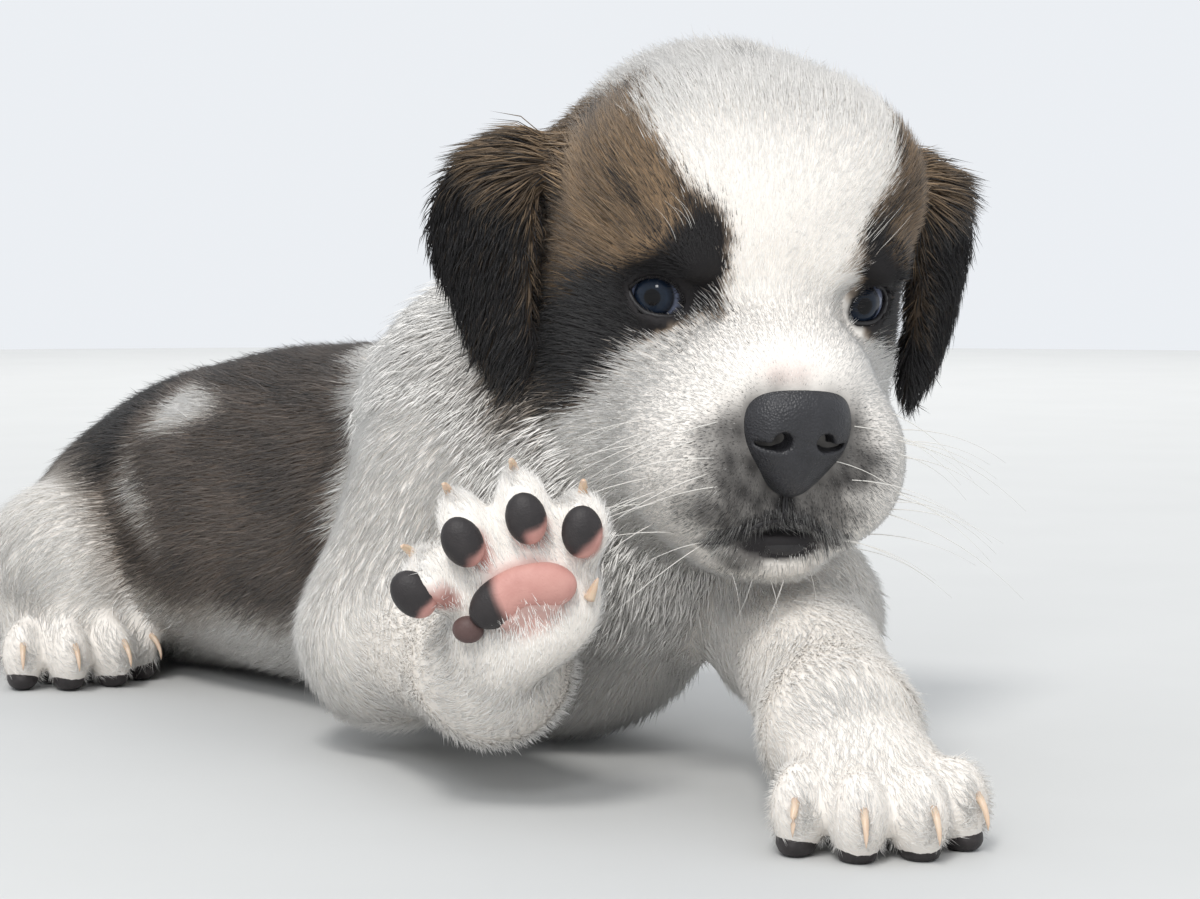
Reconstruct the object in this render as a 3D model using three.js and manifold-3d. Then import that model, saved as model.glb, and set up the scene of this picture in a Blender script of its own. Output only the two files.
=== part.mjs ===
// A Saint Bernard puppy about five weeks old, life size, in millimetres. It lies on its belly with the
// right forepaw lifted, the left forepaw set down in front, and the head turned a little to its right.
// +Z is up, the spine runs along Y, the chest is towards -Y, and the puppy's left side is towards +X.
// The outline is the outside of the coat. Every soft form is a smooth union of round forms, which is
// skinned with triangles and then parted with thin cuts.
import * as THREE from "three";
import { mergeVertices } from "three/addons/utils/BufferGeometryUtils.js";
import Module from "manifold-3d";

const wasm = await Module();
wasm.setup();

// Driving dimensions
const GAP = 0.3;
const EYE_RADIUS = 8.3;
const EYE_SIDE = 22.8;
const EYE_BACK = -27.4;
const EYE_HEIGHT = -1.6;
const NOSE_FRONT = -61.5;
const HEAD_CENTRE = [11, -34.6, 120.3];
const HEAD_TURN = -19.1;
const HEAD_PITCH = 9.4;
const HEAD_ROLL = 2.4;

// Forms: a form gives the distance from a point to its surface, negative inside
const rad = THREE.MathUtils.degToRad;

function turnOf([rx, ry, rz]) {
  return new THREE.Matrix4().makeRotationFromEuler(new THREE.Euler(rad(rx), rad(ry), rad(rz), "ZYX"));
}

function placed(form, origin, turn) {
  const inverse = turnOf(turn).setPosition(...origin).invert().elements;
  return (x, y, z) =>
    form(
      inverse[0] * x + inverse[4] * y + inverse[8] * z + inverse[12],
      inverse[1] * x + inverse[5] * y + inverse[9] * z + inverse[13],
      inverse[2] * x + inverse[6] * y + inverse[10] * z + inverse[14],
    );
}

function ball(centre, [a, b, c], turn) {
  const round = (x, y, z) => {
    const near = Math.hypot(x / a, y / b, z / c);
    const slope = Math.hypot(x / (a * a), y / (b * b), z / (c * c));
    return slope < 1e-9 ? -Math.min(a, b, c) : (near * (near - 1)) / slope;
  };
  if (turn) return placed(round, centre, turn);
  const [cx, cy, cz] = centre;
  return (x, y, z) => round(x - cx, y - cy, z - cz);
}

// A limb is a round bar that tapers from radius ra at a to rb at b
function limb([ax, ay, az], [bx, by, bz], ra, rb) {
  const [dx, dy, dz] = [bx - ax, by - ay, bz - az];
  const long = dx * dx + dy * dy + dz * dz;
  return (x, y, z) => {
    const along = ((x - ax) * dx + (y - ay) * dy + (z - az) * dz) / long;
    const t = Math.min(1, Math.max(0, along));
    const away = Math.hypot(x - ax - t * dx, y - ay - t * dy, z - az - t * dz);
    return away - (ra + (rb - ra) * t);
  };
}

const blend = (a, b, k) => {
  const h = Math.max(k - Math.abs(a - b), 0) / k;
  return Math.min(a, b) - (h * h * k) / 4;
};

function join(k, ...forms) {
  return (x, y, z) => {
    let d = forms[0](x, y, z);
    for (let i = 1; i < forms.length; i++) d = blend(d, forms[i](x, y, z), k);
    return d;
  };
}

const carve = (form, tool, k) => (x, y, z) => -blend(-form(x, y, z), tool(x, y, z), k);
const grown = (form, by) => (x, y, z) => form(x, y, z) - by;
const onFloor = (form) => (x, y, z) => Math.max(form(x, y, z), -z);
const both = (make) => [make(-1), make(1)];

// The head in its own frame: x to the puppy's left, -y forward, z up
const cranium = join(
  18,
  ball([-0.5, 6, 7], [46, 47, 47.5]),
  ...both((s) => ball([s * 17, -20, 24], [24, 20, 22])),
  ...both((s) => ball([s * 23, 0, -24], [20, 32, 27])),
  ball([0, -14, -40], [33, 34, 25]),
);
const muzzle = join(
  9,
  ball([0, -40, -15], [23, 28, 15]),
  ...both((s) => ball([s * 16, -43, -36], [17.5, 24, 21])),
  ball([0, -52, -25], [15, 14, 14]),
  ball([0, -41, -50], [20, 22, 13]),
);
const brows = join(6, ...both((s) => ball([s * 20, -33, 9], [11, 7, 6])));
const sockets = join(4, ...both((s) => ball([s * 27, -41, -1.5], [9.5, 6.5, 6.5], [0, 0, s * 28])));
const face = carve(join(10, join(12, cranium, muzzle), brows), sockets, 5);
const noseForm = join(
  4,
  ball([0, NOSE_FRONT, -20.5], [11.4, 8.5, 7.6]),
  ...both((s) => ball([s * 6, NOSE_FRONT, -26.5], [6.3, 7.5, 6])),
  ball([0, NOSE_FRONT + 1, -33.5], [5, 6.5, 5.8]),
);
const nostrils = join(
  1.5,
  ...both((s) => ball([s * 5, NOSE_FRONT - 8, -27], [2.3, 5, 2])),
  ...both((s) => ball([s * 8.6, NOSE_FRONT - 4, -28.5], [2.6, 5, 1.2], [0, s * 25, 0])),
);
const headTurn = [HEAD_PITCH, HEAD_ROLL, HEAD_TURN];
const inHead = (form) => placed(form, HEAD_CENTRE, headTurn);

// Ears fold over at the root and hang as a flat leaf that faces out and forward
const earForm = (s) =>
  inHead(
    join(
      7,
      ball([s * 48, 8, 21], [15, 13, 8], [0, s * 25, 0]),
      ball([s * 58, 5, 6], [4.6, 15.5, 18], [0, 0, -s * 48]),
      ball([s * 56, 1, -13], [4.2, 13, 16], [0, 0, -s * 44]),
      ball([s * 53, -3, -26], [3.8, 8, 9], [0, 0, -s * 40]),
    ),
  );

// Body and neck, in the puppy's frame
const body = join(
  26,
  ball([0, 14, 51], [47, 46, 52]),
  ball([0, 75, 51], [52, 60, 52]),
  ball([-4, 135, 49], [53, 58, 50]),
  ball([-10, 188, 43], [47, 46, 46]),
  ball([-16, 226, 34], [36, 34, 34]),
);
const neck = join(
  20,
  ball([1, 18, 88], [50, 44, 34]),
  limb([4, 14, 84], [15, -6, 112], 42, 38),
  ball([-2, -16, 66], [40, 30, 36]),
);
const trunk = join(16, join(22, body, neck), inHead(face));

// Legs: shoulder or hip, then elbow or knee, then wrist or hock, with the radii of the two bars
const LEGS = {
  foreleg_right: { joints: [[-30, 14, 66], [-46, 24, 30], [-62, -46, 32]], radii: [31, 24, 20, 18] },
  foreleg_left: { joints: [[28, 4, 72], [28, -40, 36], [-10, -106, 20]], radii: [30, 22, 20, 17.5] },
  hindleg_right: { joints: [[-28, 206, 38], [-58, 186, 32], [-60, 234, 16]], radii: [32, 27, 19, 14] },
  hindleg_left: { joints: [[8, 208, 38], [42, 190, 32], [44, 238, 16]], radii: [32, 27, 19, 14] },
};
const tail = join(
  12,
  limb([-17, 240, 42], [-14, 270, 22], 21, 16),
  limb([-14, 270, 22], [0, 302, 14], 16, 14),
  limb([0, 302, 14], [30, 328, 10], 14, 9),
);

// A paw in its own frame: toes towards -y and pads down
const TOES = [
  { side: -16.5, reach: -6, long: 9, spread: -20 },
  { side: -6.2, reach: -13.5, long: 10.5, spread: -6 },
  { side: 6.2, reach: -13.5, long: 10.5, spread: 6 },
  { side: 16.5, reach: -6, long: 9, spread: 20 },
];
const toe = ({ side, reach, long, spread }) => ball([side, reach, -0.5], [7, long, 9.5], [0, 0, spread]);
const toePad = ({ side, reach, spread }) => ball([side * 1.06, reach - 1, -8.5], [4.2, 5.6, 3.6], [0, 0, spread]);
const palm = join(3, ball([0, 1, -9], [6, 5, 3.6]), ...both((s) => ball([s * 5, 4, -9], [4.6, 4.6, 3.4])));
const pawForm = join(
  2,
  join(5, ball([0, 5, 2], [17.5, 17, 12.5]), ...TOES.map(toe)),
  palm,
  ...TOES.map(toePad),
);
const PAWS = {
  forepaw_right: { origin: [-71, -71, 54], turn: [-84, -20, -35], leg: "foreleg_right", wrist: [-69, -60, 38] },
  forepaw_left: { origin: [-20, -128, 12], turn: [4, 0, -26], leg: "foreleg_left", wrist: [-15, -118, 14] },
  hindpaw_right: { origin: [-64, 174, 12], turn: [0, 0, -4], leg: "hindleg_right", wrist: [-62, 190, 13] },
  hindpaw_left: { origin: [48, 176, 12], turn: [0, 0, 4], leg: "hindleg_left", wrist: [46, 192, 13] },
};
const LIMBS = Object.entries(PAWS).map(([paw, { origin, turn, leg, wrist }]) => {
  const { joints: [top, middle, end], radii: [r0, r1, r2, r3] } = LEGS[leg];
  const bars = join(10, join(14, limb(top, middle, r0, r1), limb(middle, end, r2, r3)), limb(end, wrist, r3, 13));
  const foot = placed(pawForm, origin, turn);
  return { paw, leg, bars, foot, form: join(8, bars, foot), points: [top, middle, end, wrist, origin] };
});
const ears = { ear_right: earForm(-1), ear_left: earForm(1) };
const whole = onFloor(join(4, join(8, trunk, ...LIMBS.map((limb) => limb.form), tail), ...Object.values(ears)));

// Grid points that touch only across a square's diagonal are joined, or an edge would get four faces
function fillDiagonals(value, size, at) {
  const step = [1, size[0], size[0] * size[1]];
  for (let changed = true; changed; ) {
    changed = false;
    for (let k = 0; k + 1 < size[2]; k++)
      for (let j = 0; j + 1 < size[1]; j++)
        for (let i = 0; i + 1 < size[0]; i++)
          for (let axis = 0; axis < 3; axis++) {
            const [u, w] = [(axis + 1) % 3, (axis + 2) % 3];
            const p = at(i, j, k);
            const [q, r, t] = [p + step[u], p + step[w], p + step[u] + step[w]];
            const inside = value[p] < 0;
            if (value[t] < 0 !== inside || value[q] < 0 === inside || value[r] < 0 === inside) continue;
            const [a, b] = inside ? [q, r] : [p, t];
            value[value[a] < value[b] ? a : b] = -1e-3;
            changed = true;
          }
  }
}

// A skin of triangles round a form inside a box: one vertex in each cell that the surface crosses
function skinOf(form, low, high, cell) {
  const size = low.map((v, i) => Math.ceil((high[i] - v) / cell) + 2);
  const at = (i, j, k) => (k * size[1] + j) * size[0] + i;
  const value = new Float32Array(size[0] * size[1] * size[2]);
  for (let k = 0; k < size[2]; k++)
    for (let j = 0; j < size[1]; j++)
      for (let i = 0; i < size[0]; i++) {
        const edge = [i, j, k].some((n, a) => n === 0 || n === size[a] - 1);
        const here = form(low[0] + i * cell, low[1] + j * cell, low[2] + k * cell);
        value[at(i, j, k)] = edge ? Math.max(here, cell / 2) : here;
      }
  const corners = [...Array(8).keys()].map((n) => [n & 1, (n >> 1) & 1, n >> 2]);
  fillDiagonals(value, size, at);
  const points = [];
  const cellOf = new Int32Array(value.length).fill(-1);
  for (let k = 0; k + 1 < size[2]; k++)
    for (let j = 0; j + 1 < size[1]; j++)
      for (let i = 0; i + 1 < size[0]; i++) {
        const v = corners.map(([a, b, c]) => value[at(i + a, j + b, k + c)]);
        const sum = [0, 0, 0];
        let crossings = 0;
        for (let m = 0; m < 8; m++)
          for (let axis = 0; axis < 3; axis++) {
            const n = m | (1 << axis);
            if (n === m || v[m] < 0 === v[n] < 0) continue;
            const t = v[m] / (v[m] - v[n]);
            for (let a = 0; a < 3; a++) sum[a] += corners[m][a] + (a === axis ? t : 0);
            crossings++;
          }
        if (!crossings) continue;
        cellOf[at(i, j, k)] = points.length;
        points.push([i, j, k].map((n, a) => low[a] + (n + sum[a] / crossings) * cell));
      }
  const faces = [];
  const step = [1, size[0], size[0] * size[1]];
  for (let k = 0; k + 1 < size[2]; k++)
    for (let j = 0; j + 1 < size[1]; j++)
      for (let i = 0; i + 1 < size[0]; i++)
        for (let axis = 0; axis < 3; axis++) {
          const here = at(i, j, k);
          const inside = value[here] < 0;
          if (inside === value[here + step[axis]] < 0) continue;
          const [u, w] = [step[(axis + 1) % 3], step[(axis + 2) % 3]];
          const ring = [here, here - u, here - u - w, here - w].map((c) => cellOf[c]);
          if (!inside) ring.reverse();
          faces.push(ring);
        }
  return { points, faces };
}

// Vertices move onto the form, so that the skin has the form's true outline
function settle(form, points, cell, rounds = 3) {
  const e = 0.05;
  for (const p of points)
    for (let n = 0; n < rounds; n++) {
      const d = form(...p);
      const g = [0, 1, 2].map((a) => {
        const q = [...p];
        q[a] += e;
        return (form(...q) - d) / e;
      });
      const length = Math.max(g[0] * g[0] + g[1] * g[1] + g[2] * g[2], 0.25);
      const move = THREE.MathUtils.clamp(d / length, -cell / 3, cell / 3);
      for (let a = 0; a < 3; a++) p[a] -= g[a] * move;
    }
}

// Solids: closed meshes that manifold-3d can cut and join
function solidOf(geometry) {
  const bare = geometry.clone();
  bare.deleteAttribute("normal");
  bare.deleteAttribute("uv");
  const merged = mergeVertices(bare, 1e-4);
  return new wasm.Manifold(
    new wasm.Mesh({
      numProp: 3,
      vertProperties: new Float32Array(merged.attributes.position.array),
      triVerts: new Uint32Array(merged.index.array),
    }),
  );
}

// A pinched skin has an edge with four faces
function pinched(index) {
  const edges = new Set();
  for (let i = 0; i < index.length; i++) {
    const next = i % 3 === 2 ? i - 2 : i + 1;
    const key = index[i] * 1e6 + index[next];
    if (edges.has(key)) return true;
    edges.add(key);
  }
  return false;
}

function closedSkin(form, low, high, cell) {
  const { points, faces } = skinOf(form, low, high, cell);
  settle(form, points, cell);
  const index = faces.flatMap(([a, b, c, d]) => {
    const apart = (m, n) => points[m].reduce((s, v, i) => s + (v - points[n][i]) ** 2, 0);
    return apart(a, c) <= apart(b, d) ? [a, b, c, a, c, d] : [a, b, d, b, c, d];
  });
  if (pinched(index)) throw new Error("pinched");
  return new wasm.Mesh({
    numProp: 3,
    vertProperties: new Float32Array(points.flat()),
    triVerts: new Uint32Array(index),
  });
}

// The grid is moved a little, and made finer at last, as long as its skin is pinched
function solidForm(form, low, high, cell) {
  for (let n = 0; n < 30; n++) {
    const start = low.map((v, a) => v - ((n * (a + 3)) % 10) * 0.1 * cell);
    try {
      return new wasm.Manifold(closedSkin(form, start, high, cell * (1 - 0.06 * Math.floor(n / 10))));
    } catch (error) {
      if (n === 29) throw error;
    }
  }
}

function largest(solid) {
  const bodies = solid.decompose();
  return bodies.reduce((best, b) => (b.volume() > best.volume() ? b : best));
}

function geometryOf(solid) {
  const mesh = solid.getMesh();
  const geometry = new THREE.BufferGeometry();
  geometry.setAttribute("position", new THREE.BufferAttribute(new Float32Array(mesh.vertProperties), 3));
  geometry.setIndex(new THREE.BufferAttribute(new Uint32Array(mesh.triVerts), 1));
  return geometry;
}

// Cuts leave slivers: vertices closer than a weld become one, as long as the solid stays closed
function welded(solid) {
  for (const weld of [0.1, 0.07, 0.05, 0.03, 0.02, 0.01, 0.15, 0.2, 0.3]) {
    const merged = mergeVertices(geometryOf(solid), weld);
    const corners = [...merged.index.array];
    const kept = [];
    for (let i = 0; i < corners.length; i += 3) {
      const three = corners.slice(i, i + 3);
      if (new Set(three).size === 3) kept.push(...three);
    }
    if (pinched(kept)) continue;
    const vertProperties = new Float32Array(merged.attributes.position.array);
    try {
      return new wasm.Manifold(new wasm.Mesh({ numProp: 3, vertProperties, triVerts: new Uint32Array(kept) }));
    } catch {
      continue;
    }
  }
  return solid;
}

// A part is where its own form is nearer than the forms that it grows from; the others lose a gap more
const sharing = (part, rest, gap) => (x, y, z) => (part(x, y, z) - rest(x, y, z)) / 1.8 - gap;
const MARGIN = 34;
const AREA_CELL = 11;
function boxOf(points) {
  const low = [0, 1, 2].map((a) => Math.min(...points.map((p) => p[a])) - MARGIN);
  const high = [0, 1, 2].map((a) => Math.max(...points.map((p) => p[a])) + MARGIN);
  return [[low[0], low[1], Math.max(low[2], -6)], high];
}

// Everything on the side of a cut that its normal points to, less half the gap
function side({ point, normal }, sign) {
  const big = 700;
  const box = new THREE.BoxGeometry(big, big, big).translate(0, 0, (big + GAP) / 2);
  const facing = normal.clone().normalize().multiplyScalar(sign);
  const turn = new THREE.Quaternion().setFromUnitVectors(new THREE.Vector3(0, 0, 1), facing);
  return solidOf(box.applyQuaternion(turn).translate(...point));
}
const headFrame = turnOf(headTurn).setPosition(...HEAD_CENTRE);
const NECK_LEAN = rad(45.5);
const NECK_CUT = {
  point: new THREE.Vector3(0, 28, 0).applyMatrix4(headFrame),
  normal: new THREE.Vector3(0, Math.cos(NECK_LEAN), -Math.sin(NECK_LEAN)).transformDirection(headFrame),
};
const CHEST_CUT = { point: new THREE.Vector3(6, 14, 88), normal: new THREE.Vector3(-0.1, 0.45, -0.89) };

const COLOURS = { white: 0xf1eee8, brown: 0x5b4a3d, black: 0x1c1b1d, eye: 0x1b2430 };
const group = new THREE.Group();
function add(name, solid, colour) {
  const material = new THREE.MeshStandardMaterial({ color: COLOURS[colour], roughness: 0.85, metalness: 0 });
  const mesh = new THREE.Mesh(geometryOf(largest(welded(largest(solid)))), material);
  mesh.name = name;
  group.add(mesh);
}

// Claws are small cones, sunk into the toe tips
function claw({ side: x, reach, long, spread }, paw) {
  const cone = new THREE.ConeGeometry(1.6, 9, 6).translate(0, 4.5, 0).rotateX(rad(-158));
  cone.rotateZ(rad(spread)).translate(x * 1.02, reach - long * 0.5, 2);
  return solidOf(cone.applyMatrix4(turnOf(PAWS[paw].turn).setPosition(...PAWS[paw].origin)));
}

// Each limb is parted from the trunk, and its paw from its leg
const LIMB_CELL = 10;
const PAW_CELL = { forepaw_right: 4.1, forepaw_left: 4.5, hindpaw_right: 5.8, hindpaw_left: 5.8 };
const taken = [];
const trunkAndLegs = join(1, trunk, ...LIMBS.map((limb) => limb.form));
const EAR_CELL = 4.2;
for (const [name, ear] of Object.entries(ears)) {
  const s = name === "ear_left" ? 1 : -1;
  const middle = new THREE.Vector3(s * 54, 4, -3).applyMatrix4(headFrame).toArray();
  const box = [middle.map((v) => v - 42), middle.map((v) => v + 42)];
  const near = sharing(ear, trunkAndLegs, 0);
  const flap = (x, y, z) => Math.max(whole(x, y, z), near(x, y, z));
  const leaf = largest(solidForm(flap, ...box, EAR_CELL));
  add(name, leaf, "black");
  taken.push(leaf, solidForm(grown(flap, GAP * 2), ...box, EAR_CELL));
}
const less = (solid, tools) => tools.reduce((rest, tool) => rest.subtract(tool), solid);
const earsTaken = [...taken];
for (const { paw, leg, bars, foot, form, points } of LIMBS) {
  const box = boxOf(points);
  const pawBox = boxOf([points[4], points[3]]);
  const area = solidForm(sharing(form, trunk, 0), ...box, AREA_CELL);
  const pawArea = solidForm(sharing(foot, bars, 0), ...pawBox, AREA_CELL);
  const pawGone = solidForm(sharing(foot, bars, GAP * 1.5), ...pawBox, AREA_CELL);
  const legSkin = less(solidForm(whole, ...box, LIMB_CELL).intersect(area), [pawArea, pawGone, ...earsTaken]);
  add(leg, legSkin, "white");
  const skin = solidForm(whole, ...pawBox, PAW_CELL[paw]);
  const clawed = TOES.reduce((solid, one) => solid.add(claw(one, paw)), skin);
  add(paw, clawed.intersect(area).intersect(pawArea), "white");
  taken.push(area, solidForm(sharing(form, trunk, GAP * 1.5), ...box, AREA_CELL));
}
const TAIL_BOX = boxOf([[-17, 240, 30], [0, 302, 14], [30, 328, 10]]);
const tailArea = solidForm(sharing(tail, trunk, 0), ...TAIL_BOX, AREA_CELL);
add("tail", solidForm(whole, ...TAIL_BOX, LIMB_CELL).intersect(tailArea), "brown");
taken.push(tailArea, solidForm(sharing(tail, trunk, GAP * 1.5), ...TAIL_BOX, AREA_CELL));

// Torso, neck and head are parted by two flat cuts
const torso = solidForm(whole, [-80, -70, -8], [80, 290, 120], 15).intersect(side(CHEST_CUT, 1));
add("torso", less(torso, taken), "brown");
const neckSkin = solidForm(whole, [-85, -90, 20], [85, 90, 190], 11).intersect(side(CHEST_CUT, -1));
add("neck", less(neckSkin.intersect(side(NECK_CUT, 1)), taken), "white");

// Face: eyeballs behind almond openings in the lids, the nose leather, and the line of the mouth
const eyeFrame = (s) => {
  const frame = turnOf([0, 0, s * 25]).setPosition(s * EYE_SIDE, EYE_BACK, EYE_HEIGHT);
  return new THREE.Matrix4().multiplyMatrices(headFrame, frame);
};
const globe = (radius, s, rings = 10) =>
  solidOf(new THREE.SphereGeometry(radius, rings + 4, rings).applyMatrix4(eyeFrame(s)));
function almond(s) {
  const [half, up, down] = [6.6, 4.4, 3.9];
  const outline = new THREE.Shape().moveTo(-half, 0);
  outline.bezierCurveTo(-half * 0.6, up * 1.35, half * 0.6, up * 1.35, half, 0);
  outline.bezierCurveTo(half * 0.5, -down * 1.35, -half * 0.5, -down * 1.35, -half, 0);
  const hole = new THREE.ExtrudeGeometry(outline, { depth: 16, bevelEnabled: false, curveSegments: 5 });
  return solidOf(hole.rotateZ(rad(s * 9)).rotateX(rad(90)).applyMatrix4(eyeFrame(s)));
}
const LIP_LINE = [[0, -66, -37], [0, -65, -45], [7, -63, -49], [15, -57, -54], [22, -47, -57.5], [29, -34, -56]];
function lipGroove(s) {
  const line = LIP_LINE.map(([x, y, z]) => new THREE.Vector3(s * x, y, z).applyMatrix4(headFrame).toArray());
  settle(whole, line, 8, 6);
  const path = new THREE.CatmullRomCurve3(line.map((p) => new THREE.Vector3(...p)));
  const section = new THREE.Shape().absarc(0, 0, 1.2, 0, Math.PI * 2);
  return solidOf(new THREE.ExtrudeGeometry(section, { steps: 14, extrudePath: path, curveSegments: 2 }));
}
const NOSE_BOX = [[-16, NOSE_FRONT - 12, -43], [16, NOSE_FRONT + 12, -8]];
const inRow = (solid) => solid.transform(headFrame.elements);
add("nose", inRow(solidForm(carve(noseForm, nostrils, 1), ...NOSE_BOX, 2.5)), "black");
const noseBed = inRow(solidForm(grown(noseForm, GAP * 2.2), ...NOSE_BOX, 2.5));
const headSkin = solidForm(whole, [-75, -140, 36], [85, 50, 190], 6.8).intersect(side(NECK_CUT, -1));
let head = less(headSkin.intersect(side(CHEST_CUT, -1)), taken).subtract(noseBed);
for (const [s, name] of [[-1, "eye_right"], [1, "eye_left"]]) {
  head = head.add(globe(EYE_RADIUS + 1.7, s)).subtract(globe(EYE_RADIUS + GAP, s)).subtract(almond(s));
  head = head.subtract(lipGroove(s));
  add(name, globe(EYE_RADIUS, s), "eye");
}
add("head", head, "white");

// The origin is the middle of the box that holds the whole puppy, on the floor
const bounds = new THREE.Box3().setFromObject(group);
const centre = bounds.getCenter(new THREE.Vector3());
group.position.set(-centre.x, -centre.y, -bounds.min.z);

export default group;
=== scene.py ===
# A Saint Bernard puppy, life size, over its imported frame. Forms are near the sizes of the solids, in
# millimetres in the puppy's own frame; a mesh gets metres and the frame's origin when it is made.
import math

import bpy
import numpy as np
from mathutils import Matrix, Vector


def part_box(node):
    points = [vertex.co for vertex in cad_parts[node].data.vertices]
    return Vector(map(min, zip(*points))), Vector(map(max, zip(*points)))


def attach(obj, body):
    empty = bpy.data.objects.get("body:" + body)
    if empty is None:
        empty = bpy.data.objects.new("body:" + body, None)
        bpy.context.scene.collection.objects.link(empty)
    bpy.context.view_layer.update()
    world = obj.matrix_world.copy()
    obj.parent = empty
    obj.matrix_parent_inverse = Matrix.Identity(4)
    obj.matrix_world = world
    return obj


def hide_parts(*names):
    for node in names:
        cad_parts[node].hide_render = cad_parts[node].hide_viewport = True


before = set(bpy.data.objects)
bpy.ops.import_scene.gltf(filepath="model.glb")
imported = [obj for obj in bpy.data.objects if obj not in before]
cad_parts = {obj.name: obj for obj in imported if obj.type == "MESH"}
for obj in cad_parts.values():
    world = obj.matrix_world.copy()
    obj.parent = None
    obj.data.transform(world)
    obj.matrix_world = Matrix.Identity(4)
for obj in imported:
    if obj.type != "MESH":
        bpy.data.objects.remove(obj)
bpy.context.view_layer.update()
rng = np.random.default_rng(7)

# Driving dimensions
EYE_RADIUS = 8.3
EYE_PLACE = (22.8, -27.4, -1.6)
NOSE_FRONT = -61.5
HEAD_CENTRE = (11, -34.6, 120.3)
HEAD_TURN = (9.4, 2.4, -19.1)
CAMERA_PLACE = (-404.4, -577.5, 127)
CAMERA_AZIMUTH = 35
CAMERA_FALL = 4.23
CAMERA_LENS = 85
CAMERA_SENSOR = 36
FLOW_CENTRE = (0, -68, -24)
LID_RADIUS = 9.75
LID_BALD = 9.7
EYE_TURN_OUT = 25
FLOOR_RADIUS = 2.6
FLOOR_SIDES = 96
SKIN_CELL = 1.6
QUICK_CELL = 2.4
QUICK_SHARE = 0.3
LIP_HAIRS = 900
QUICK_LIP_HAIRS = 260
STRAY_SHARE = 0.05
TUFT_WIDTH = 0.22
TUFT_LIFT = (9, 24)
PAD_SPREAD = 1.06
FLOOR_CLEAR = 0.25


# Forms: a form gives the distance from points to its surface, negative inside
def unit_rows(v):
    return v / (np.linalg.norm(v, axis=1, keepdims=True) + 1e-9)


def turn_of(turn):
    rx, ry, rz = np.radians(turn)
    x = np.array([[1, 0, 0], [0, math.cos(rx), -math.sin(rx)], [0, math.sin(rx), math.cos(rx)]])
    y = np.array([[math.cos(ry), 0, math.sin(ry)], [0, 1, 0], [-math.sin(ry), 0, math.cos(ry)]])
    z = np.array([[math.cos(rz), -math.sin(rz), 0], [math.sin(rz), math.cos(rz), 0], [0, 0, 1]])
    return z @ y @ x


def local(p, origin, turn):
    return (p - np.array(origin, np.float32)) @ turn_of(turn).astype(np.float32)


def from_local(p, origin, turn):
    return p @ turn_of(turn).T + np.array(origin)


def placed(form, origin, turn):
    return lambda p: form(local(p, origin, turn))


def ball(centre, radii, turn=(0, 0, 0)):
    r = np.array(radii, np.float32)

    def round_form(p):
        near = np.linalg.norm(p / r, axis=1)
        slope = np.linalg.norm(p / (r * r), axis=1)
        return np.where(slope < 1e-9, -r.min(), near * (near - 1) / np.maximum(slope, 1e-9))

    return placed(round_form, centre, turn)


def limb(a, b, ra, rb):
    a, b = np.array(a, np.float32), np.array(b, np.float32)
    d = b - a

    def bar(p):
        t = np.clip((p - a) @ d / (d @ d), 0, 1)
        return np.linalg.norm(p - a - t[:, None] * d, axis=1) - (ra + (rb - ra) * t)

    return bar


def blend(a, b, k):
    h = np.maximum(k - np.abs(a - b), 0) / k
    return np.minimum(a, b) - h * h * k / 4


def join(k, *forms):
    def joined(p):
        d = forms[0](p)
        for form in forms[1:]:
            d = blend(d, form(p), k)
        return d

    return joined


def carve(form, tool, k):
    return lambda p: -blend(-form(p), tool(p), k)


# Works a form out only near its centre, and gives a safe distance elsewhere
def nearby(form, centre, radius):
    middle = np.array(centre, np.float32)

    def quick(p):
        away = np.linalg.norm(p - middle, axis=1)
        d = away - radius + 40
        close = away < radius
        if close.any():
            d[close] = form(p[close])
        return d

    return quick


SIDES = (-1, 1)
SIDE_NAMES = ((-1, "right"), (1, "left"))


# Two balls, one mirrored to each side
def pair(centre, radii, turn=(0, 0, 0)):
    (x, y, z), (rx, ry, rz) = centre, turn
    return [ball((s * x, y, z), radii, (rx, s * ry, s * rz)) for s in SIDES]


# The head in its own frame: x to the puppy's left, -y forward, z up
cranium = join(
    18,
    ball((-0.5, 6, 7), (46, 47, 47.5)),
    *pair((17, -20, 24), (24, 20, 22)),
    *pair((23, 0, -24), (20, 32, 27)),
    ball((0, -14, -40), (33, 34, 25)),
)
muzzle = join(
    9,
    ball((0, -40, -15), (23, 28, 15)),
    *pair((16, -43, -36), (17.5, 24, 21)),
    ball((0, -52, -25), (15, 14, 14)),
    ball((0, -41, -50), (20, 22, 13)),
)
brows = join(6, *pair((20, -33, 9), (11, 7, 6)))
sockets = join(4, *pair((27, -41, -1.5), (9.5, 6.5, 6.5), (0, 0, 28)))
face = carve(join(10, join(12, cranium, muzzle), brows), sockets, 5)

def in_head(form):
    return placed(form, HEAD_CENTRE, HEAD_TURN)


def from_head(p):
    return from_local(np.atleast_2d(np.array(p, float)), HEAD_CENTRE, HEAD_TURN)


def ear_form(s):
    leaf = join(
        7,
        ball((s * 48, 8, 21), (15, 13, 8), (0, s * 25, 0)),
        ball((s * 58, 5, 6), (4.6, 15.5, 18), (0, 0, -s * 48)),
        ball((s * 55, -1, -9), (4.2, 11.5, 15), (0, 0, -s * 44)),
        ball((s * 50.5, -5, -22), (3.8, 6.8, 9), (0, 0, -s * 40)),
    )
    return nearby(in_head(leaf), from_head((s * 54, 4, -3))[0], 62)


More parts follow.
